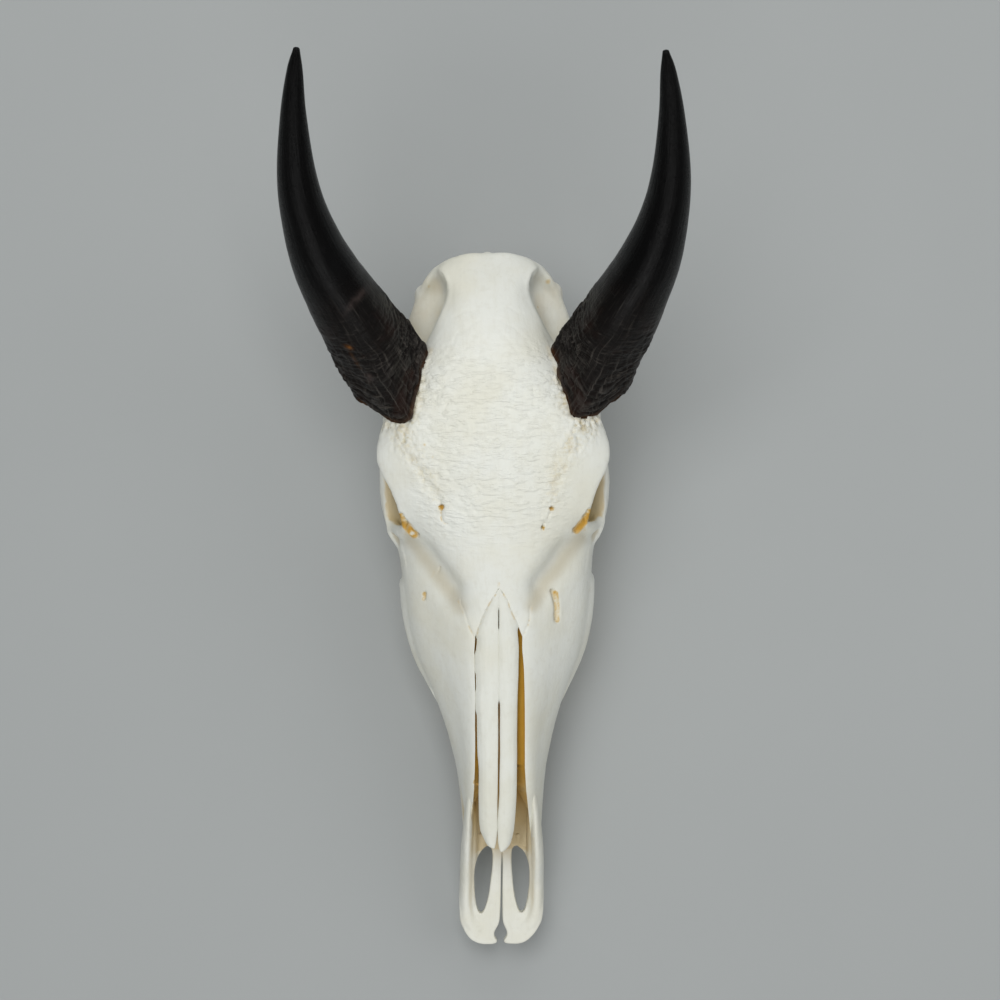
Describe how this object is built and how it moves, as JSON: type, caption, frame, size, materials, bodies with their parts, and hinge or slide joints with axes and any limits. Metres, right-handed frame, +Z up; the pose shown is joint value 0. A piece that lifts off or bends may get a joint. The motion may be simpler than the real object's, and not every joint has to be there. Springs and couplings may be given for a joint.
{
  "type": "antelope skull",
  "caption": "Bleached skull of a large antelope without lower jaw, long narrow muzzle, round eye sockets and two short black curved horns.",
  "frame": {"origin": "centre of the overall box in plan, on the table plane that the cheek teeth rest on", "axes": "+Z up, -Y towards the muzzle tip, +X towards the animal's left (the right side of the picture)"},
  "size_m": [0.2082, 0.4754, 0.2598],
  "materials": {
    "bone": "dry bleached bone, matte, fine wrinkles and pores",
    "nasal_bone": "dry bleached bone, smooth, matte",
    "muzzle_bone": "dry bleached bone, smooth, matte",
    "horn": "black keratin, glossy towards the tip, ridged and dull brown at the base",
    "enamel": "cream enamel with brown stain"
  },
  "bodies": {
    "root": {"cranium": "bone", "nasal_bone_left": "nasal_bone", "nasal_bone_right": "nasal_bone", "premaxilla_left": "muzzle_bone", "premaxilla_right": "muzzle_bone", "horn_sheath_left": "horn", "horn_sheath_right": "horn", "premolar_2_left": "enamel", "premolar_2_right": "enamel", "premolar_3_left": "enamel", "premolar_3_right": "enamel", "premolar_4_left": "enamel", "premolar_4_right": "enamel", "molar_1_left": "enamel", "molar_1_right": "enamel", "molar_2_left": "enamel", "molar_2_right": "enamel", "molar_3_left": "enamel", "molar_3_right": "enamel"}
  },
  "joints": []
}
